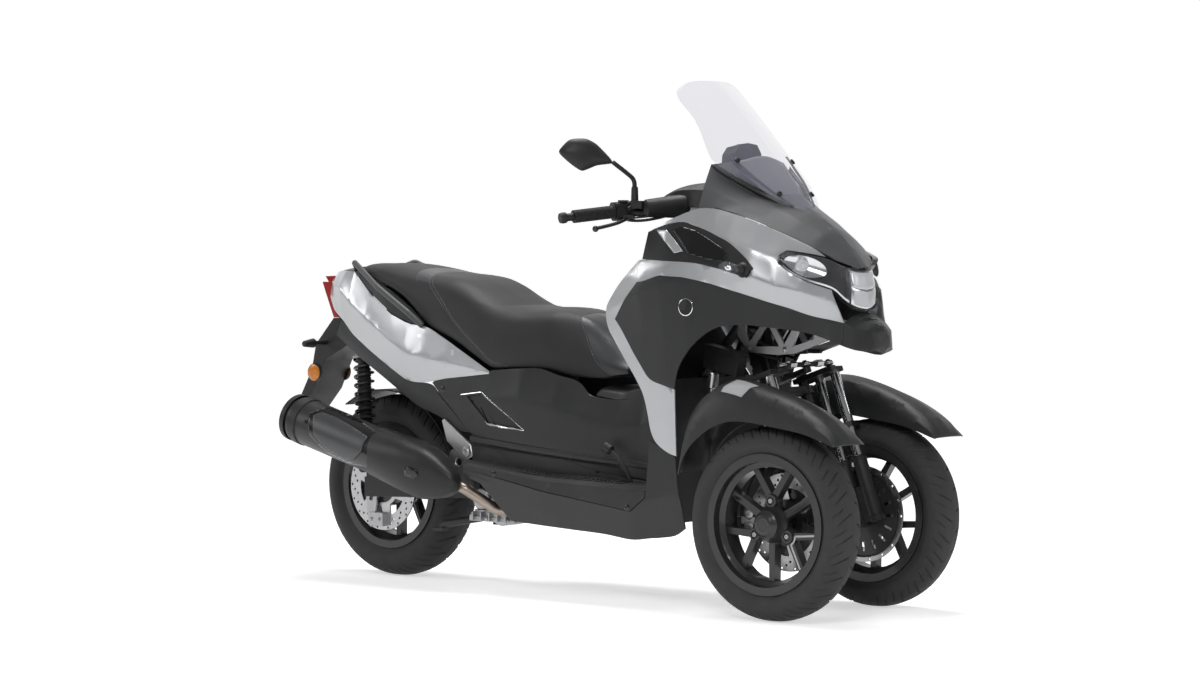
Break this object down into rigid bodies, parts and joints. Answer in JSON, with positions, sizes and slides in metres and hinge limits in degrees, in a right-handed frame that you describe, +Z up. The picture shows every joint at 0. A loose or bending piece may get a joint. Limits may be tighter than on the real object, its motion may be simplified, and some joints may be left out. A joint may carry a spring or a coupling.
{
  "type": "leaning three-wheel scooter",
  "caption": "Leaning three-wheel scooter with twin steered front wheels, tall clear windscreen, step-through floor and a hinged two-person seat over a storage tub",
  "frame": {"origin": "middle of the footprint, on the ground", "axes": "+X forward, +Y to the rider's left, +Z up"},
  "size_m": [2.25, 0.8166, 1.466],
  "materials": {
    "silver_paint": "metallic silver lacquer on moulded panels",
    "dark_plastic": "fine-grained dark grey",
    "grey_plastic": "matte mid grey",
    "black_plastic": "textured black",
    "seat_vinyl": "charcoal seat cover with stitched seams",
    "tyre": "matte rubber with tread",
    "grip_rubber": "ribbed soft rubber",
    "wheel_black": "satin black enamel on cast alloy",
    "disc_steel": "turned brake face",
    "black_frame": "satin black powder coat",
    "cast_alloy": "cast, lightly rough",
    "exhaust_steel": "heat-tinted steel",
    "muffler_black": "heatproof matte black",
    "clear_screen": "clear acrylic",
    "lamp_clear": "clear lens over bright reflector",
    "lamp_red": "red lens"
  },
  "bodies": {
    "chassis": {"frame": "black_frame", "lean_linkage": "black_frame", "front_truss": "cast_alloy", "engine_block": "cast_alloy", "drive_case": "cast_alloy", "swing_arm": "black_frame", "hugger": "black_plastic", "rear_shocks": "black_frame", "exhaust_pipe": "exhaust_steel", "muffler": "muffler_black", "dash": "black_plastic", "leg_shield": "dark_plastic", "arch_liner": "black_plastic", "cowl": "grey_plastic", "windscreen": "clear_screen", "headlight": "lamp_clear", "nose": "dark_plastic", "upper_fairings": "silver_paint", "intake_panels": "black_plastic", "lower_fairings": "dark_plastic", "leg_strips": "silver_paint", "storage_tub": "black_plastic", "tunnel_cover": "dark_plastic", "rear_side_panels": "silver_paint", "under_panels": "dark_plastic", "side_covers": "dark_plastic", "vent_grilles": "black_plastic", "tail_covers": "dark_plastic", "tail_lamp": "lamp_red", "plate_holder": "black_plastic", "rear_indicators": "lamp_clear", "front_indicators": "lamp_clear", "grab_rails": "grey_plastic", "foot_boards": "dark_plastic", "skirts": "dark_plastic"},
    "steering": {"handlebar": "black_frame", "handlebar_cover": "black_plastic", "grips": "grip_rubber", "switchgear": "black_plastic", "levers": "cast_alloy", "mirrors": "black_plastic"},
    "fork_right": {"fork_right": "black_frame", "fender_right": "dark_plastic"},
    "fork_left": {"fork_left": "black_frame", "fender_left": "dark_plastic"},
    "track_rod": {"track_rod": "black_frame"},
    "wheel_front_right": {"tyre_right": "tyre", "rim_right": "wheel_black", "disc_right": "disc_steel"},
    "wheel_front_left": {"tyre_left": "tyre", "rim_left": "wheel_black", "disc_left": "disc_steel"},
    "wheel_rear": {"tyre_rear": "tyre", "rim_rear": "wheel_black", "disc_rear": "disc_steel"},
    "centre_stand": {"centre_stand": "black_frame"},
    "seat": {"seat": "seat_vinyl"}
  },
  "joints": [
    {"name": "steering", "type": "hinge", "parent": "chassis", "child": "steering", "pos_m": [0.53572, 0, 1.086], "axis": [-0.342, 0, 0.9397], "range_deg": [-30, 30]},
    {"name": "right_kingpin", "type": "hinge", "parent": "chassis", "child": "fork_right", "pos_m": [0.83564, -0.108, 0.262], "axis": [-0.342, 0, 0.9397], "range_deg": [-30, 30]},
    {"name": "left_kingpin", "type": "hinge", "parent": "chassis", "child": "fork_left", "pos_m": [0.83564, 0.108, 0.262], "axis": [-0.342, 0, 0.9397], "range_deg": [-30, 30]},
    {"name": "track_rod_pin", "type": "hinge", "parent": "steering", "child": "track_rod", "pos_m": [0.92961, 0, 0.2962], "axis": [-0.342, 0, 0.9397], "range_deg": [-30, 30]},
    {"name": "right_wheel_spin", "type": "hinge", "parent": "fork_right", "child": "wheel_front_right", "pos_m": [0.863, -0.235, 0.262], "axis": [0, 1, 0], "continuous": true},
    {"name": "left_wheel_spin", "type": "hinge", "parent": "fork_left", "child": "wheel_front_left", "pos_m": [0.863, 0.235, 0.262], "axis": [0, 1, 0], "continuous": true},
    {"name": "rear_wheel_spin", "type": "hinge", "parent": "chassis", "child": "wheel_rear", "pos_m": [-0.732, 0, 0.276], "axis": [0, 1, 0], "continuous": true},
    {"name": "stand_pivot", "type": "hinge", "parent": "chassis", "child": "centre_stand", "pos_m": [-0.205, 0, 0.222], "axis": [0, 1, 0], "range_deg": [-95, 0], "stiffness_Nm_per_rad": 5, "springref_deg": 68.75},
    {"name": "seat_lid", "type": "hinge", "parent": "chassis", "child": "seat", "pos_m": [0.22, 0, 0.63176], "axis": [0, 1, 0], "range_deg": [0, 48]}
  ],
  "couplings": [
    {"joint": "right_kingpin", "follows": "steering", "ratio": 1},
    {"joint": "left_kingpin", "follows": "steering", "ratio": 1},
    {"joint": "track_rod_pin", "follows": "steering", "ratio": -1}
  ]
}
